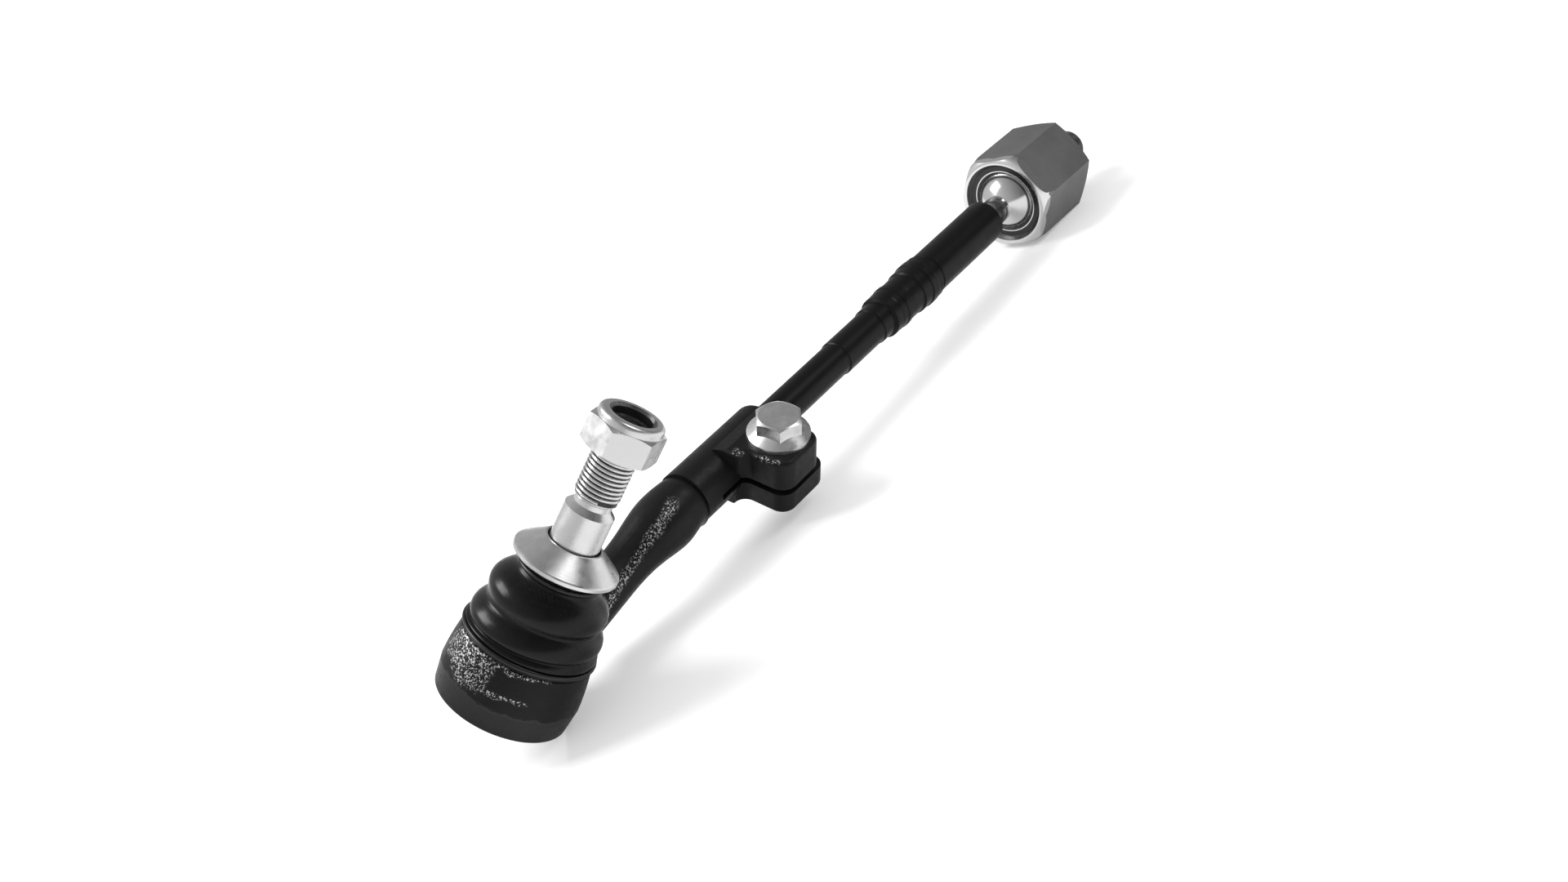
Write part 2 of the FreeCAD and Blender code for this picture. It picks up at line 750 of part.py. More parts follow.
# Frames of the rod, of the outer ball joint and of the inner ball joint, whose hexagon
# lies flat on the ground
DOWN = V(0, -math.sin(math.radians(HEX_TURN)), -math.cos(math.radians(HEX_TURN)))
ROD = frame(V(0, 0, 0), V(1, 0, 0), DOWN)
OUTER = frame(V(OUTER_X, OUTER_Y, OUTER_Z), leaning(STUD_LEAN, -STUD_SIDE), V(1, 0, 0))
INNER = frame(V(INNER_X, 0, 0), heading(HOUSING_SIDE, -HOUSING_DROOP), DOWN)

PIECES = {
    "outer_housing": outer_housing(),
    "closing_cap": closing_cap(),
    "outer_seat": outer_seat(),
    "ball_stud": ball_stud(),
    "stud_dish": stud_dish(),
    "boot": boot(),
    "boot_base_ring": wire_ring(SKIRT_R, BASE_RING_Z),
    "boot_neck_ring": wire_ring(BOOT_NECK_R, NECK_RING_Z),
    "stud_nut": stud_nut(),
    "nylon_ring": nylon_ring(),
    "clamp_bolt": clamp_bolt(),
    "tie_rod": tie_rod(),
    "inner_seat": inner_seat(),
    "retaining_ring": retaining_ring(),
    "inner_housing": inner_housing(),
}
REST = resting_place(PIECES.values())

os.makedirs("parts", exist_ok=True)
for name, piece in PIECES.items():
    put(piece, REST).exportStep("parts/" + name + ".step")
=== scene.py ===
import bpy
import json
import math
from bpy.props import FloatProperty, FloatVectorProperty, IntProperty, PointerProperty
from bpy.types import Operator, Panel, PropertyGroup
from mathutils import Matrix, Vector


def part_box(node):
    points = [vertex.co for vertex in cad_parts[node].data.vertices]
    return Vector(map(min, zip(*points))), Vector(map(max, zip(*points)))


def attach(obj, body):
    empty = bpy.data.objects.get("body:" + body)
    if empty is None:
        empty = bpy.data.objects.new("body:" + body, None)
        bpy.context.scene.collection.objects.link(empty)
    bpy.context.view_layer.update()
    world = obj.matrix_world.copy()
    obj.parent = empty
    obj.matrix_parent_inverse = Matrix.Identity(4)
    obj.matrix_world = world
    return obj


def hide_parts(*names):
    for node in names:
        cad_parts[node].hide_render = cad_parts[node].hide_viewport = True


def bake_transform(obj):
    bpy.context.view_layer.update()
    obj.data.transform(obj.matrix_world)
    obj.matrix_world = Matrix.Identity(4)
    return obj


bl_info = {
    "name": "Tie rod",
    "version": (1, 0, 0),
    "blender": (4, 5, 0),
    "location": "View3D > Sidebar > Tie rod",
    "description": "Finishes, boot and threads of a steering tie rod, with its studio",
    "category": "Object",
}

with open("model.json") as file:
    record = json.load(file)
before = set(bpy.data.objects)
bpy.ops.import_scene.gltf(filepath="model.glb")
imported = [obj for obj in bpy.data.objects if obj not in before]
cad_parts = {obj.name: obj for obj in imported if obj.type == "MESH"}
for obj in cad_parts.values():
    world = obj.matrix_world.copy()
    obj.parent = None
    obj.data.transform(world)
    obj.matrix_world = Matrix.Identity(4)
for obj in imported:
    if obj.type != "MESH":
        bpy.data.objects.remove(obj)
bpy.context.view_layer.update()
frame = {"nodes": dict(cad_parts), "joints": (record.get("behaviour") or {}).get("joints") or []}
MM = 0.001

# Camera, fitted to the picture in the part's frame
CAMERA_PLACE = (-0.47418, -0.45727, 0.30211)
CAMERA_RIGHT = (0.54858, -0.74621, -0.37713)
CAMERA_UP = (0.55354, -0.01390, 0.83270)
CAMERA_LENS = 44.996

# Studio: the side that the light comes from, the lights' places and sides, and the floor, in metres
CENTRE = Vector((0, 0, 0))
LIGHT_SIDE = Vector((-0.59, 0.81, 0))
KEY_REACH = 0.75
KEY_OFFSET = Vector((0.05, -0.05, 0.85))
KEY_SIDE = 0.5
FILL_REACH = 0.7
FILL_OFFSET = Vector((0.1, -0.1, 0.75))
FILL_SIDE = 0.4
FLOOR_HALF = 3.0
FLOOR_LEVEL = -0.0002
# The floor's glow rises to FAR_LIFT between two distances from the part
LIFT_NEAR = 0.35
LIFT_FAR = 1.2
FAR_LIFT = 0.75
# Shares of the mirrored sky's strength away from the light and towards it, and how far a
# direction lies towards the light where each holds
MIRROR_DARK = 0.25
MIRROR_LIGHT = 1.3
MIRROR_SPAN = (-0.7, 0.8)

# Heights along the ball stud, and along the inner housing, each from its ball's centre, in mm
THREAD_LOW = 57.9
THREAD_HIGH = 82.6
HOUSING_BACK = 33.4
RACK_LOW = 36.3
RACK_HIGH = 52.5
THREAD_PITCH = 1.5
THREAD_OUTSIDE = 7.12
# Share of a crest's wire that is sunk in the thread's outside
CREST_SUNK = 0.55
# Plain run left at the two ends of each wound thread
STUD_RUN = (0.9, 1.2)
RACK_RUN = (0.4, 1.6)

# Bounds of finishes, in mm: the bare ball and neck of the rod from the ball's centre, the retaining
# ring's painted edge highlights, the housing's dark throat, and the back of its bright lip with the
# lobes' depth
BARE_REACH = 24.0
RING_INNER_EDGE = 13.4
RING_OUTER_EDGE = 15.8
THROAT = 16.8
LIP_EDGE = -4.9
SCALLOP_RISE = 1.6
SCALLOP_PAIRS = 6
# Cup's parting line, in mm: height from the ball's centre, half its width, the cup's reach, and
# how widely lines in the paint stray
PARTING = -10.2
PARTING_HALF = 0.5
CUP_REACH = 30.0
STRAY = 6.0
# Radians of the lathe marks' wave in a metre
LATHE_MARKS = 9000

# Boot: radius and height from the ball's centre, in mm, up the outside and back down the inside
BOOT_OUTSIDE = (
    (21.55, 4.1),
    (21.7, 4.4),
    (21.7, 4.75),
    (21.0, 4.9),
    (21.0, 6.3),
    (21.5, 6.45),
    (21.85, 6.9),
    (21.85, 7.5),
    (21.5, 8.1),
    (20.9, 8.55),
    (20.6, 8.85),
    (20.75, 9.15),
    (21.2, 9.8),
    (21.5, 10.7),
    (21.5, 11.8),
    (21.2, 13.0),
    (20.5, 14.3),
    (19.5, 15.5),
    (18.75, 16.2),
    (18.4, 16.8),
    (18.5, 17.4),
    (19.0, 18.5),
    (19.5, 19.9),
    (19.65, 21.3),
    (19.4, 22.8),
    (18.5, 24.5),
    (17.0, 26.1),
    (15.2, 27.5),
    (13.9, 28.6),
    (13.6, 29.3),
    (13.6, 30.0),
    (12.85, 30.15),
    (12.85, 31.65),
    (13.6, 31.8),
    (13.6, 31.9),
)
BOOT_INSIDE = (
    (9.35, 31.9),
    (9.35, 27.4),
    (13.0, 26.0),
    (17.4, 22.0),
    (17.8, 20.4),
    (16.7, 15.5),
    (19.0, 11.9),
    (19.0, 9.9),
    (19.65, 8.5),
    (19.65, 4.1),
)
BOOT_SIDES = 144
# Heights between which the boot bends, and between which its creases' slant sets in and fades
SLANT_IN = (6.5, 9.0)
SLANT_OUT = (15.0, 20.0)

# Worn places of the paint in metres: middle, reach, and the height of a narrow line on the cup
# with half its width
WORN_PLACES = (
    ((-0.1897, 0.0118, 0.0408), 0.0095, 0, 0),
    ((-0.1850, 0.0205, 0.0435), 0.0060, 0, 0),
    ((-0.1923, 0.0065, 0.0325), 0.0150, -0.0056, 0.0010),
    ((-0.1852, -0.0026, 0.0325), 0.0110, 0.0036, 0.0009),
)
# Worn ridges in metres: two ends and half the width
WORN_RIDGES = (
    ((-0.1420, 0.0105, 0.0192), (-0.0925, 0.0064, 0.0340), 0.0024),
    ((-0.0662, 0.0018, 0.0348), (-0.0622, -0.0142, 0.0265), 0.0017),
)


def joint(name):
    """Point and direction of one of the part's joints."""
    for entry in frame["joints"]:
        if entry["name"] == name:
            return Vector(entry["pos_m"]), Vector(entry["axis"]).normalized()
    raise ValueError("no joint is named " + name)


def along(name, towards):
    """Frame on a joint's axis, whose Z points to the side where the other point lies."""
    origin, axis = joint(name)
    if axis.dot(towards - origin) < 0:
        axis = -axis
    across = axis.cross(Vector((0, 0, 1))).normalized()
    matrix = Matrix((across, axis.cross(across), axis)).transposed().to_4x4()
    return Matrix.Translation(origin) @ matrix


def middle(node):
    """Middle of a CAD node's box."""
    low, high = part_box(node)
    return (low + high) / 2


def towards_nut(name):
    """Point of a joint and its direction, pointed to the stud's nut."""
    origin, axis = joint(name)
    return origin, axis if axis.dot(middle("stud_nut") - origin) > 0 else -axis


# Node materials

def surface(name):
    """New material with its tree and shader, and the object coordinates of its pattern."""
    material = bpy.data.materials.new(name)
    material.use_nodes = True
    tree = material.node_tree
    shader = tree.nodes["Principled BSDF"]
    place = tree.nodes.new("ShaderNodeTexCoord")
    return material, tree, shader, place.outputs["Object"]


def noise(tree, vector, scale, detail=4.0, rough=0.6):
    """Noise of a scale given in turns per metre."""
    node = tree.nodes.new("ShaderNodeTexNoise")
    node.inputs["Scale"].default_value = scale
    node.inputs["Detail"].default_value = detail
    node.inputs["Roughness"].default_value = rough
    tree.links.new(vector, node.inputs["Vector"])
    return node.outputs["Fac"]


def ramp(tree, value, low, high, start, end, smooth=False):
    """Value carried from one range to another, held inside it."""
    node = tree.nodes.new("ShaderNodeMapRange")
    node.interpolation_type = "SMOOTHSTEP" if smooth else "LINEAR"
    sockets = ("From Min", "From Max", "To Min", "To Max")
    for socket, number in zip(sockets, (low, high, start, end)):
        node.inputs[socket].default_value = number
    tree.links.new(value, node.inputs["Value"])
    return node.outputs["Result"]


def maths(tree, operation, first, second):
    """One step of arithmetic on two sockets or numbers."""
    node = tree.nodes.new("ShaderNodeMath")
    node.operation = operation
    for place, value in enumerate((first, second)):
        if isinstance(value, (int, float)):
            node.inputs[place].default_value = value
        else:
            tree.links.new(value, node.inputs[place])
    return node.outputs["Value"]


def mix_colour(tree, factor, first, second):
    """Blend of two colours, each a socket or a triple."""
    node = tree.nodes.new("ShaderNodeMix")
    node.data_type = "RGBA"
    tree.links.new(factor, node.inputs[0])
    for place, value in ((6, first), (7, second)):
        if isinstance(value, bpy.types.NodeSocket):
            tree.links.new(value, node.inputs[place])
        else:
            node.inputs[place].default_value = (*value, 1)
    return node.outputs[2]


def bump(tree, shader, height, depth, strength):
    """Relief of a height pattern, its depth in metres."""
    node = tree.nodes.new("ShaderNodeBump")
    node.inputs["Distance"].default_value = depth
    node.inputs["Strength"].default_value = strength
    tree.links.new(height, node.inputs["Height"])
    tree.links.new(node.outputs["Normal"], shader.inputs["Normal"])


def vector_maths(tree, operation, first, second=CENTRE):
    """One step of arithmetic on a vector socket, with a second vector or socket."""
    node = tree.nodes.new("ShaderNodeVectorMath")
    node.operation = operation
    tree.links.new(first, node.inputs[0])
    if isinstance(second, bpy.types.NodeSocket):
        tree.links.new(second, node.inputs[1])
    else:
        node.inputs[1].default_value = second
    return node


def component(tree, vector, axis, origin=CENTRE):
    """Distance of a point along an axis from an origin."""
    share = vector_maths(tree, "DOT_PRODUCT", vector, axis).outputs["Value"]
    return maths(tree, "SUBTRACT", share, float(axis.dot(origin)))


def distance(tree, vector, origin):
    """Distance of a point from another."""
    return vector_maths(tree, "DISTANCE", vector, origin).outputs["Value"]


def grey(value):
    """Neutral colour."""
    return (value, value, value)


def off_line(tree, vector, start, end):
    """Distance of a point from the line through two others."""
    start, end = Vector(start), Vector(end)
    arm = vector_maths(tree, "SUBTRACT", vector, start).outputs["Vector"]
    cross = vector_maths(tree, "CROSS_PRODUCT", arm, (end - start).normalized())
    return vector_maths(tree, "LENGTH", cross.outputs["Vector"]).outputs["Value"]


def band(tree, value, middle_at, half):
    """One at a value, falling to nothing at half a band's width."""
    away = maths(tree, "ABSOLUTE", maths(tree, "SUBTRACT", value, middle_at), 0)
    return ramp(tree, away, half * 0.4, half, 1, 0)


def painted(settings):
    """Black paint on a forging, worn to bright specks on a few ridges of the cup and the arm."""
    material, tree, shader, spot = surface("forged_black")
    origin, axis = towards_nut("stud_swing_direction")
    grain = noise(tree, spot, 420, 6, 0.65)
    cloud = noise(tree, spot, 60, 3, 0.5)
    base = mix_colour(tree, cloud, grey(settings.paint * 0.7), grey(settings.paint * 1.6))
    wander = maths(tree, "SUBTRACT", noise(tree, spot, 110, 3, 0.6), 0.5)
    wander = maths(tree, "MULTIPLY", wander, STRAY * MM)
    height = maths(tree, "ADD", component(tree, spot, axis, origin), wander)
    seam = band(tree, height, PARTING * MM, PARTING_HALF * MM)
    seam = maths(tree, "MULTIPLY", seam, near(tree, spot, origin, CUP_REACH * MM))
    below = ramp(tree, height, (PARTING - 0.6) * MM, (PARTING + 0.2) * MM, 1, 0)
    below = maths(tree, "MULTIPLY", below, near(tree, spot, origin, (CUP_REACH + 2) * MM))
    duller = grey(settings.paint * 4.5)
    base = mix_colour(tree, maths(tree, "MULTIPLY", below, 0.6), base, duller)
    base = mix_colour(tree, maths(tree, "MULTIPLY", seam, 0.35), base, grey(0.08))
    worn = None
    for place, reach, level, half in WORN_PLACES:
        strayed = vector_maths(tree, "ADD", spot, wander).outputs["Vector"]
        there = near(tree, strayed, place, reach)
        if half:
            there = maths(tree, "MULTIPLY", there, band(tree, height, level, half))
        worn = there if worn is None else maths(tree, "MAXIMUM", worn, there)
    for start, end, half in WORN_RIDGES:
        worn = maths(tree, "MAXIMUM", worn, ridge(tree, spot, wander, start, end, half))
    speck = ramp(tree, noise(tree, spot, 1500, 2, 0.75), 0.54, 0.58, 0, 1)
    worn = maths(tree, "MULTIPLY", worn, speck)
    tree.links.new(mix_colour(tree, worn, base, grey(0.6)), shader.inputs["Base Color"])
    tree.links.new(maths(tree, "MULTIPLY", worn, 0.8), shader.inputs["Metallic"])
    tree.links.new(ramp(tree, grain, 0.3, 0.7, 0.30, 0.50), shader.inputs["Roughness"])
    shader.inputs["Specular IOR Level"].default_value = 0.18
    bump(tree, shader, grain, 0.00025, 0.5)
    return material


def ridge(tree, spot, wander, start, end, half):
    """One along a line between two places, frayed at its sides and ends."""
    start, end = Vector(start), Vector(end)
    side = maths(tree, "ADD", off_line(tree, spot, start, end), wander)
    across = ramp(tree, side, half * 0.3, half, 1, 0)
    way = component(tree, spot, (end - start).normalized(), (start + end) / 2)
    reach = (end - start).length / 2
    ends = ramp(tree, maths(tree, "ABSOLUTE", way, 0), reach * 0.85, reach, 1, 0)
    return maths(tree, "MULTIPLY", across, ends)


def near(tree, vector, place, reach):
    """One near a place, falling to nothing at a distance."""
    return ramp(tree, distance(tree, vector, place), reach * 0.75, reach, 1, 0, True)


def smooth_black(settings):
    """Black coating on the turned rod, whose ball and neck are bare polished steel."""
    material, tree, shader, spot = surface("coated_rod")
    ball = joint("inner_swing_direction")[0]
    grain = noise(tree, spot, 260, 4, 0.6)
    away = distance(tree, spot, ball)
    bare = ramp(tree, away, BARE_REACH * MM, (BARE_REACH + 0.3) * MM, 1, 0)
    tone = ramp(tree, grain, 0.3, 0.7, settings.rod * 0.7, settings.rod * 1.4)
    colour = mix_colour(tree, bare, grey(settings.rod), grey(0.7))
    tree.links.new(colour, shader.inputs["Base Color"])
    tree.links.new(bare, shader.inputs["Metallic"])
    coated = ramp(tree, grain, 0.3, 0.7, 0.3, 0.42)
    tree.links.new(mix_value(tree, bare, coated, 0.16), shader.inputs["Roughness"])
    shader.inputs["Specular IOR Level"].default_value = 0.16
    bump(tree, shader, tone, 0.002, 0.25)
    return material


def mix_value(tree, factor, first, second):
    """Blend of two numbers."""
    node = tree.nodes.new("ShaderNodeMix")
    tree.links.new(factor, node.inputs[0])
    for place, value in ((2, first), (3, second)):
        if isinstance(value, bpy.types.NodeSocket):
            tree.links.new(value, node.inputs[place])
        else:
            node.inputs[place].default_value = value
    return node.outputs[0]


def housing_steel(settings):
    """Satin grey flats, a bright scalloped lip with a dark throat, and a dark rack stud."""
    material, tree, shader, spot = surface("housing_steel")
    place = along("inner_swing_direction", middle("inner_housing"))
    origin, axis = place.translation, place.col[2].xyz
    depth = component(tree, spot, axis, origin)
    angle = maths(
        tree,
        "ARCTAN2",
        component(tree, spot, place.col[1].xyz, origin),
        component(tree, spot, place.col[0].xyz, origin),
    )
    lobes = maths(tree, "SINE", maths(tree, "MULTIPLY", angle, SCALLOP_PAIRS), 0)
    rise = maths(tree, "MULTIPLY", maths(tree, "ABSOLUTE", lobes, 0), SCALLOP_RISE * MM)
    edge = maths(tree, "ADD", rise, LIP_EDGE * MM)
    lip = ramp(tree, maths(tree, "SUBTRACT", depth, edge), -0.0001, 0.0001, 1, 0)
    radius = off_line(tree, spot, origin, origin + axis)
    throat = ramp(tree, radius, THROAT * MM, (THROAT + 0.3) * MM, 1, 0)
    behind = ramp(tree, depth, (HOUSING_BACK + 0.1) * MM, (HOUSING_BACK + 0.3) * MM, 0, 1)
    grain = noise(tree, spot, 500, 5, 0.6)
    cloud = noise(tree, spot, 55, 3, 0.6)
    flat = mix_colour(tree, cloud, grey(settings.housing * 0.7), grey(settings.housing * 1.3))
    flat = mix_colour(tree, behind, flat, grey(0.04))
    colour = mix_colour(tree, lip, flat, grey(0.78))
    tree.links.new(mix_colour(tree, throat, colour, grey(0.09)), shader.inputs["Base Color"])
    tree.links.new(mix_value(tree, lip, 0.7, 1.0), shader.inputs["Metallic"])
    tree.links.new(mix_value(tree, lip, 0.45, 0.22), shader.inputs["Roughness"])
    bump(tree, shader, grain, 0.0001, 0.35)
    return material


def ring_with_painted_edge_highlights():
    """Dark ring with painted highlights: its inner and outer edges are coloured bright where light
    catches them.
    """
    material, tree, shader, spot = surface("ring_edge_highlight")
    origin, axis = joint("inner_swing_direction")
    radius = off_line(tree, spot, origin, origin + axis)
    inner = ramp(tree, radius, RING_INNER_EDGE * MM, (RING_INNER_EDGE + 0.2) * MM, 1, 0)
    outer = ramp(tree, radius, RING_OUTER_EDGE * MM, (RING_OUTER_EDGE + 0.2) * MM, 0, 1)
    edge = maths(tree, "MAXIMUM", inner, outer)
    grain = noise(tree, spot, 600, 4, 0.6)
    # Painted highlight: bright colour on the ring's inner and outer edges stands in for light
    # caught there
    tree.links.new(mix_colour(tree, edge, grey(0.05), grey(0.75)), shader.inputs["Base Color"])
    shader.inputs["Metallic"].default_value = 1.0
    tree.links.new(ramp(tree, grain, 0.3, 0.7, 0.2, 0.3), shader.inputs["Roughness"])
    bump(tree, shader, grain, 0.00005, 0.3)
    return material


def bright(name, tone, roughness, axis_joint=None):
    """Bright plated or turned steel, with fine rings about an axis."""
    material, tree, shader, spot = surface(name)
    grain = noise(tree, spot, 260, 3, 0.5)
    height = grain
    if axis_joint:
        origin, axis = joint(axis_joint)
        rings = lathe_marks(tree, component(tree, spot, axis, origin))
        height = maths(tree, "ADD", maths(tree, "MULTIPLY", rings, 0.4), grain)
    colour = mix_colour(tree, grain, grey(tone * 0.92), grey(min(1.0, tone * 1.06)))
    tree.links.new(colour, shader.inputs["Base Color"])
    shader.inputs["Metallic"].default_value = 1.0
    rough = ramp(tree, grain, 0.3, 0.7, roughness * 0.8, roughness * 1.25)
    tree.links.new(rough, shader.inputs["Roughness"])
    bump(tree, shader, height, 0.00002, 0.15)
    return material


def lathe_marks(tree, height):
    """Fine rings that a lathe leaves along an axis."""
    return maths(tree, "SINE", maths(tree, "MULTIPLY", height, LATHE_MARKS), 0)


def stud_steel():
    """Turned stud, with painted shade between the thread's crests and on its sunken end: its colour
    is dark there.
    """
    material, tree, shader, spot = surface("turned_stud")
    origin, axis = towards_nut("stud_turn")
    height = component(tree, spot, axis, origin)
    # Painted shade: dark colour above the thread's low end stands in for shade in the thread's
    # grooves and on the sunken end
    dark = ramp(tree, height, (THREAD_LOW + 0.1) * MM, (THREAD_LOW + 0.5) * MM, 0, 1)
    grain = noise(tree, spot, 260, 3, 0.5)
    rings = lathe_marks(tree, height)
    tree.links.new(mix_colour(tree, dark, grey(0.74), grey(0.05)), shader.inputs["Base Color"])
    shader.inputs["Metallic"].default_value = 1.0
    tree.links.new(ramp(tree, grain, 0.3, 0.7, 0.22, 0.34), shader.inputs["Roughness"])
    bump(tree, shader, rings, 0.00002, 0.15)
    return material


def soft(name, tone, roughness, specular=0.5):
    """Rubber or plastic with a faint grain."""
    material, tree, shader, spot = surface(name)
    grain = noise(tree, spot, 380, 4, 0.6)
    colour = mix_colour(tree, grain, grey(tone * 0.8), grey(tone * 1.2))
    rough = ramp(tree, grain, 0.3, 0.7, roughness * 0.85, roughness * 1.2)
    tree.links.new(colour, shader.inputs["Base Color"])
    tree.links.new(rough, shader.inputs["Roughness"])
    shader.inputs["Specular IOR Level"].default_value = specular
    bump(tree, shader, grain, 0.0001, 0.35)
    return material


def dress(node, material):
    """Gives a CAD node one material."""
    piece = frame["nodes"][node]
    piece.data.materials.clear()
    piece.data.materials.append(material)


# Pieces

def spiral_tree():
    """Geometry tree of a thread: a round wire wound on a cylinder, with named inputs."""
    tree = bpy.data.node_groups.new("thread_winding", "GeometryNodeTree")
    face = tree.interface
    for name, kind in (
        ("Turns", "NodeSocketFloat"),
        ("Radius", "NodeSocketFloat"),
        ("Length", "NodeSocketFloat"),
        ("Wire", "NodeSocketFloat"),
        ("Steps", "NodeSocketInt"),
        ("Material", "NodeSocketMaterial"),
    ):
        face.new_socket(name=name, in_out="INPUT", socket_type=kind)
    face.new_socket(name="Geometry", in_out="OUTPUT", socket_type="NodeSocketGeometry")
    start = tree.nodes.new("NodeGroupInput")
    spiral = tree.nodes.new("GeometryNodeCurveSpiral")
    circle = tree.nodes.new("GeometryNodeCurvePrimitiveCircle")
    sweep = tree.nodes.new("GeometryNodeCurveToMesh")
    smooth = tree.nodes.new("GeometryNodeSetShadeSmooth")
    real = tree.nodes.new("GeometryNodeRealizeInstances")
    paint = tree.nodes.new("GeometryNodeSetMaterial")
    end = tree.nodes.new("NodeGroupOutput")
    link = tree.links.new
    link(start.outputs["Turns"], spiral.inputs["Rotations"])
    link(start.outputs["Steps"], spiral.inputs["Resolution"])
    link(start.outputs["Radius"], spiral.inputs["Start Radius"])
    link(start.outputs["Radius"], spiral.inputs["End Radius"])
    link(start.outputs["Length"], spiral.inputs["Height"])
    link(start.outputs["Wire"], circle.inputs["Radius"])
    circle.inputs["Resolution"].default_value = 8
    sweep.inputs["Fill Caps"].default_value = True
    link(spiral.outputs["Curve"], sweep.inputs["Curve"])
    link(circle.outputs["Curve"], sweep.inputs["Profile Curve"])
    link(sweep.outputs["Mesh"], smooth.inputs["Geometry"])
    link(smooth.outputs["Geometry"], real.inputs["Geometry"])
    link(real.outputs["Geometry"], paint.inputs["Geometry"])
    link(start.outputs["Material"], paint.inputs["Material"])
    link(paint.outputs["Geometry"], end.inputs["Geometry"])
    return tree


def wound_thread(name, place, low, high, run, material):
    """Thread made by the geometry tree, baked and set on its axis. Lengths are in mm."""
    low, high = low + run[0], high - run[1]
    tree = bpy.data.node_groups.get("thread_winding") or spiral_tree()
    holder = bpy.data.objects.new(name + "_source", bpy.data.meshes.new(name + "_source"))
    bpy.context.scene.collection.objects.link(holder)
    modifier = holder.modifiers.new("thread", "NODES")
    modifier.node_group = tree
    wire = bpy.context.scene.tie_rod_threads.wire
    values = {
        "Turns": (high - low) / THREAD_PITCH,
        "Radius": THREAD_OUTSIDE * MM - wire * CREST_SUNK,
        "Length": (high - low) * MM,
        "Wire": wire,
        "Steps": int(bpy.context.scene.tie_rod_threads.steps),
        "Material": material,
    }
    for item in tree.interface.items_tree:
        if item.in_out == "INPUT":
            modifier[item.identifier] = values[item.name]
    holder.update_tag()
    bpy.context.view_layer.update()
    graph = bpy.context.evaluated_depsgraph_get()
    mesh = bpy.data.meshes.new_from_object(holder.evaluated_get(graph))
    bpy.data.objects.remove(holder)
    mesh.name = name
    mesh.transform(place @ Matrix.Translation((0, 0, low * MM)))
    piece = bpy.data.objects.new(name, mesh)
    bpy.context.scene.collection.objects.link(piece)
    return piece


def climb(value, low, high):
    """How far a value has come from one bound to another, between nothing and one."""
    return max(0.0, min(1.0, (value - low) / (high - low)))


def bellows(name, place, lean_at):
    """Rubber boot: a closed ring of points turned about the stud, its creases a little aslant."""
    settings = bpy.context.scene.tie_rod_boot
    outline = list(BOOT_OUTSIDE) + list(BOOT_INSIDE)
    points, faces = [], []
    for side in range(BOOT_SIDES):
        angle = 2 * math.pi * side / BOOT_SIDES
        for radius, height in outline:
            share = climb(height, *SLANT_IN) * (1 - climb(height, *SLANT_OUT))
            swing = math.cos(angle - lean_at) * settings.slant / MM * share
            spot = (radius * math.cos(angle), radius * math.sin(angle), height + swing)
            points.append([length * MM for length in spot])
    count = len(outline)
    for side in range(BOOT_SIDES):
        here, there = side * count, (side + 1) % BOOT_SIDES * count
        for step in range(count):
            after = (step + 1) % count
            faces.append((here + step, there + step, there + after, here + after))
    mesh = bpy.data.meshes.new(name)
    mesh.from_pydata(points, [], faces)
    mesh.update()
    mesh.transform(place)
    for polygon in mesh.polygons:
        polygon.use_smooth = True
    piece = bpy.data.objects.new(name, mesh)
    bpy.context.scene.collection.objects.link(piece)
    return piece


def tone(name, text, value):
    """Setting of a finish's tone."""
    return FloatProperty(
        name=name, description=text, default=value, min=0, max=1, subtype="FACTOR", precision=3
    )


class TieRodFinish(PropertyGroup):
    """Tones of the finishes."""
    paint: tone("Paint", "Tone of the black paint", 0.007)
    rod: tone("Rod", "Tone of the rod's coating", 0.005)
    housing: tone("Housing", "Tone of the housing", 0.2)
    zinc: tone("Plating", "Tone of the plated pieces", 0.82)
    rubber: tone("Rubber", "Tone of the boot", 0.006)


class TieRodThreads(PropertyGroup):
    """Sizes of the threads."""
    wire: FloatProperty(
        name="Crest", description="Radius of a thread's crest", default=0.00052, unit="LENGTH"
    )
    steps: IntProperty(
        name="Steps", description="Points in each turn", default=48, min=8, max=128
    )


class TieRodBoot(PropertyGroup):
    """Shape of the boot."""
    slant: FloatProperty(
        name="Slant",
        description="Half the rise of the creases across the boot",
        default=0.0012,
        unit="LENGTH",
    )


class TieRodStage(PropertyGroup):
    """Studio around the part."""
    key: FloatProperty(
        name="Key", description="Power of the main light", default=8.0, unit="POWER"
    )
    fill: FloatProperty(
        name="Fill", description="Power of the second light", default=2.5, unit="POWER"
    )
    sky: FloatProperty(
        name="Sky", description="Strength of the surroundings", default=0.62, min=0
    )
    mirror: FloatProperty(
        name="Mirrored sky", description="Strength of the mirrored surroundings", default=0.5, min=0
    )
    lift: FloatProperty(
        name="Lift", description="Glow of the floor towards the camera", default=0.27, min=0
    )
    floor: FloatVectorProperty(
        name="Floor", description="Colour of the floor", default=(0.9, 0.9, 0.9), subtype="COLOR"
    )


class TIE_ROD_OT_steel(Operator):
    """Finishes of the steel pieces"""
    bl_idname = "tie_rod.steel"
    bl_label = "Steel pieces"

    def execute(self, context):
        settings = context.scene.tie_rod_finish
        dress("outer_housing", painted(settings))
        dress("tie_rod", smooth_black(settings))
        dress("inner_housing", housing_steel(settings))
        dress("ball_stud", stud_steel())
        dress("stud_dish", bright("plated_dish", settings.zinc * 0.9, 0.3, "stud_turn"))
        dress("stud_nut", bright("plated_nut", settings.zinc * 0.86, 0.3))
        dress("clamp_bolt", bright("plated_bolt", settings.zinc, 0.28))
        dress("closing_cap", bright("pressed_cap", 0.35, 0.4, "stud_swing_direction"))
        dress("retaining_ring", ring_with_painted_edge_highlights())
        wire = bright("dark_wire", 0.05, 0.35)
        dress("boot_base_ring", wire)
        dress("boot_neck_ring", wire)
        return {"FINISHED"}


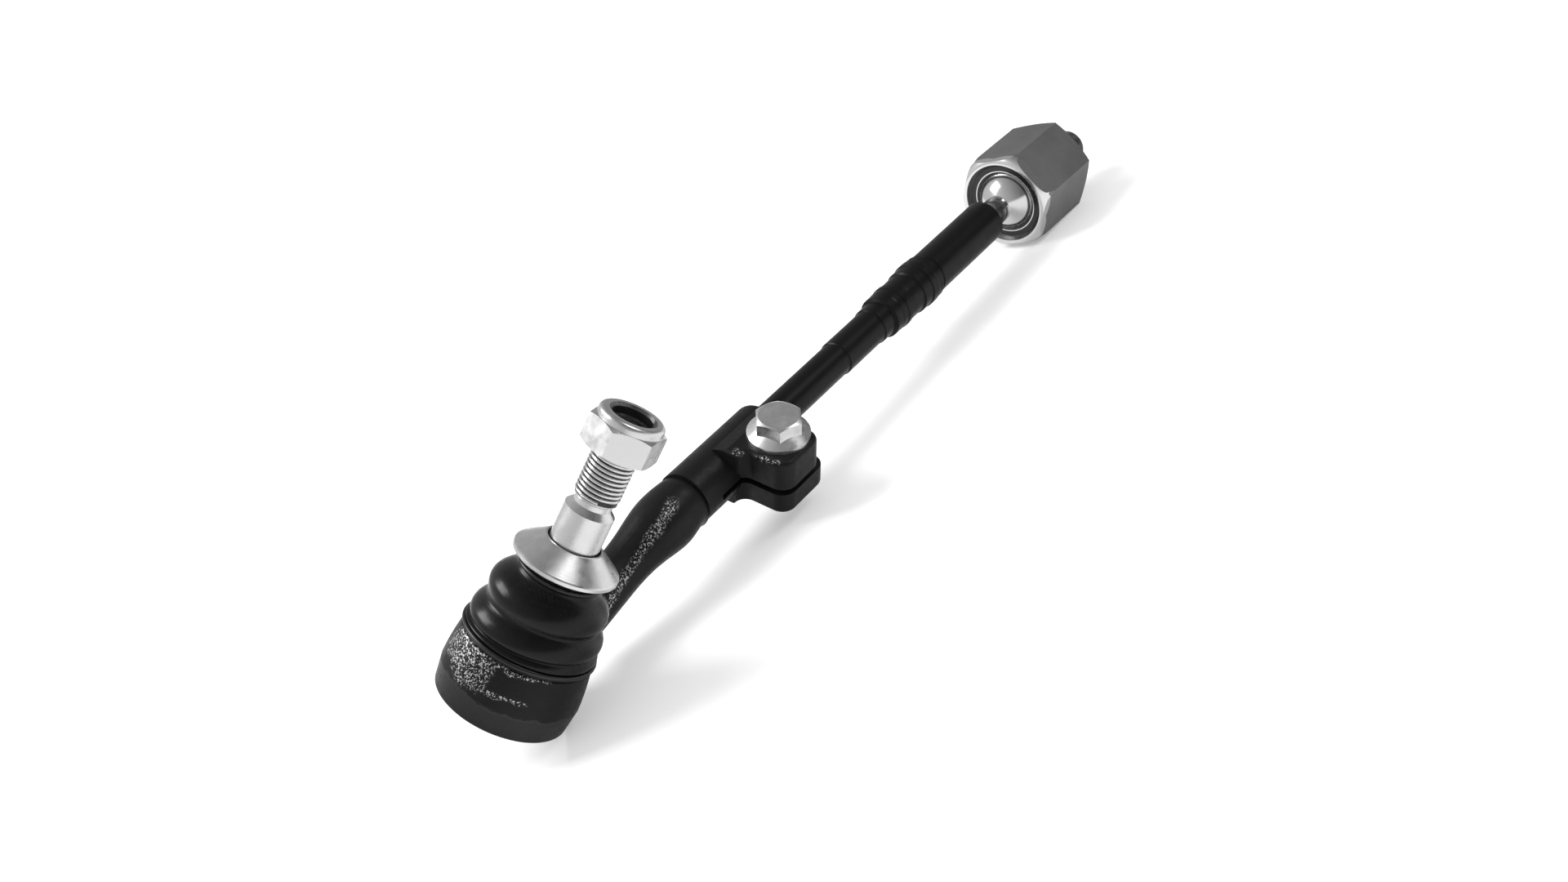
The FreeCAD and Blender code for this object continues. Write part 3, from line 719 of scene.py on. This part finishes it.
class TIE_ROD_OT_plastic(Operator):
    """Finishes of the seats and the nut's ring"""
    bl_idname = "tie_rod.plastic"
    bl_label = "Plastic pieces"

    def execute(self, context):
        seat = soft("seat_plastic", 0.1, 0.45)
        dress("outer_seat", seat)
        dress("inner_seat", seat)
        dress("nylon_ring", soft("nylon", 0.015, 0.3))
        return {"FINISHED"}


class TIE_ROD_OT_boot(Operator):
    """Rubber bellows between the cup and the stud"""
    bl_idname = "tie_rod.boot"
    bl_label = "Boot"

    def execute(self, context):
        place = along("stud_swing_direction", middle("stud_nut"))
        sideways = place.inverted().to_3x3() @ Vector(CAMERA_RIGHT)
        piece = bellows("boot_bellows", place, math.atan2(sideways.y, sideways.x))
        rubber = soft("boot_rubber", context.scene.tie_rod_finish.rubber, 0.26, 0.22)
        piece.data.materials.append(rubber)
        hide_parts("boot")
        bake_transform(piece)
        return {"FINISHED"}


class TIE_ROD_OT_threads(Operator):
    """Wound threads on the ball stud and the rack stud"""
    bl_idname = "tie_rod.threads"
    bl_label = "Threads"

    def execute(self, context):
        place = along("stud_turn", middle("stud_nut"))
        crest = bright("thread_crest", 0.75, 0.24)
        piece = wound_thread("stud_thread", place, THREAD_LOW, THREAD_HIGH, STUD_RUN, crest)
        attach(piece, "stud")
        place = along("inner_swing_direction", middle("inner_housing"))
        dark = bright("rack_crest", 0.14, 0.35)
        piece = wound_thread("rack_thread", place, RACK_LOW, RACK_HIGH, RACK_RUN, dark)
        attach(piece, "inner_end")
        return {"FINISHED"}


def area_light(name, place, side, power):
    """Square soft light that points at the middle of the part."""
    data = bpy.data.lights.new(name, "AREA")
    data.shape = "SQUARE"
    data.size = side
    data.energy = power
    light = bpy.data.objects.new(name, data)
    light.location = place
    light.rotation_euler = (CENTRE - place).to_track_quat("-Z", "Y").to_euler()
    bpy.context.scene.collection.objects.link(light)


class TIE_ROD_OT_stage(Operator):
    """Camera, lights, floor and surroundings"""
    bl_idname = "tie_rod.stage"
    bl_label = "Studio"

    def execute(self, context):
        scene = context.scene
        settings = scene.tie_rod_stage
        right, up = Vector(CAMERA_RIGHT), Vector(CAMERA_UP)
        data = bpy.data.cameras.new("camera")
        data.lens = CAMERA_LENS
        data.sensor_width = 36
        data.clip_start = 0.01
        camera = bpy.data.objects.new("camera", data)
        turn = Matrix((right, up, right.cross(up))).transposed().to_4x4()
        camera.matrix_world = Matrix.Translation(CAMERA_PLACE) @ turn
        scene.collection.objects.link(camera)
        scene.camera = camera
        scene.view_settings.view_transform = "Standard"
        area_light("key", LIGHT_SIDE * KEY_REACH + KEY_OFFSET, KEY_SIDE, settings.key)
        area_light("fill", LIGHT_SIDE * -FILL_REACH + FILL_OFFSET, FILL_SIDE, settings.fill)
        self.surroundings(scene, settings)
        self.ground(scene, settings)
        return {"FINISHED"}

    def surroundings(self, scene, settings):
        world = bpy.data.worlds.new("studio")
        world.use_nodes = True
        tree = world.node_tree
        back = tree.nodes["Background"]
        rays = tree.nodes.new("ShaderNodeLightPath")
        back.inputs["Color"].default_value = (1, 1, 1, 1)
        towards = tree.nodes.new("ShaderNodeTexCoord").outputs["Generated"]
        dark, light = settings.mirror * MIRROR_DARK, settings.mirror * MIRROR_LIGHT
        side = ramp(tree, component(tree, towards, LIGHT_SIDE), *MIRROR_SPAN, dark, light)
        level = mix_value(tree, rays.outputs["Is Glossy Ray"], settings.sky, side)
        level = mix_value(tree, rays.outputs["Is Camera Ray"], level, 1.0)
        tree.links.new(level, back.inputs["Strength"])
        scene.world = world

    def ground(self, scene, settings):
        half, low = FLOOR_HALF, FLOOR_LEVEL
        corners = [(-half, -half, low), (half, -half, low), (half, half, low), (-half, half, low)]
        mesh = bpy.data.meshes.new("floor")
        mesh.from_pydata(corners, [], [(0, 1, 2, 3)])
        floor = bpy.data.objects.new("floor", mesh)
        material, tree, shader, spot = surface("floor")
        tint = noise(tree, spot, 3, 2, 0.5)
        colour = tuple(settings.floor)
        darker = tuple(part * 0.995 for part in colour)
        tree.links.new(mix_colour(tree, tint, colour, darker), shader.inputs["Base Color"])
        shader.inputs["Roughness"].default_value = 1.0
        shader.inputs["Specular IOR Level"].default_value = 0.0
        shader.inputs["Emission Color"].default_value = (1, 1, 1, 1)
        rays = tree.nodes.new("ShaderNodeLightPath")
        far = ramp(tree, distance(tree, spot, CENTRE), LIFT_NEAR, LIFT_FAR, settings.lift, FAR_LIFT)
        glow = maths(tree, "MULTIPLY", rays.outputs["Is Camera Ray"], far)
        tree.links.new(glow, shader.inputs["Emission Strength"])
        mesh.materials.append(material)
        scene.collection.objects.link(floor)


class TIE_ROD_PT_panel(Panel):
    """Lists the steps and their settings"""
    bl_idname = "TIE_ROD_PT_panel"
    bl_label = "Tie rod"
    bl_space_type = "VIEW_3D"
    bl_region_type = "UI"
    bl_category = "Tie rod"

    def draw(self, context):
        scene = context.scene
        for step, group in STEPS:
            self.layout.operator(step.bl_idname)
            settings = getattr(scene, group, None)
            if settings:
                for name in settings.bl_rna.properties.keys():
                    if name not in ("name", "rna_type"):
                        self.layout.prop(settings, name)


GROUPS = (
    ("tie_rod_finish", TieRodFinish),
    ("tie_rod_threads", TieRodThreads),
    ("tie_rod_boot", TieRodBoot),
    ("tie_rod_stage", TieRodStage),
)
STEPS = (
    (TIE_ROD_OT_stage, "tie_rod_stage"),
    (TIE_ROD_OT_steel, "tie_rod_finish"),
    (TIE_ROD_OT_plastic, ""),
    (TIE_ROD_OT_boot, "tie_rod_boot"),
    (TIE_ROD_OT_threads, "tie_rod_threads"),
)


def register():
    for name, group in GROUPS:
        bpy.utils.register_class(group)
        setattr(bpy.types.Scene, name, PointerProperty(type=group))
    for step, _ in STEPS:
        bpy.utils.register_class(step)
    bpy.utils.register_class(TIE_ROD_PT_panel)


def unregister():
    bpy.utils.unregister_class(TIE_ROD_PT_panel)
    for step, _ in reversed(STEPS):
        bpy.utils.unregister_class(step)
    for name, group in reversed(GROUPS):
        delattr(bpy.types.Scene, name)
        bpy.utils.unregister_class(group)


def main():
    """Builds everything in order."""
    register()
    for run in (
        bpy.ops.tie_rod.stage,
        bpy.ops.tie_rod.steel,
        bpy.ops.tie_rod.plastic,
        bpy.ops.tie_rod.boot,
        bpy.ops.tie_rod.threads,
    ):
        run()


if __name__ == "__main__":
    main()
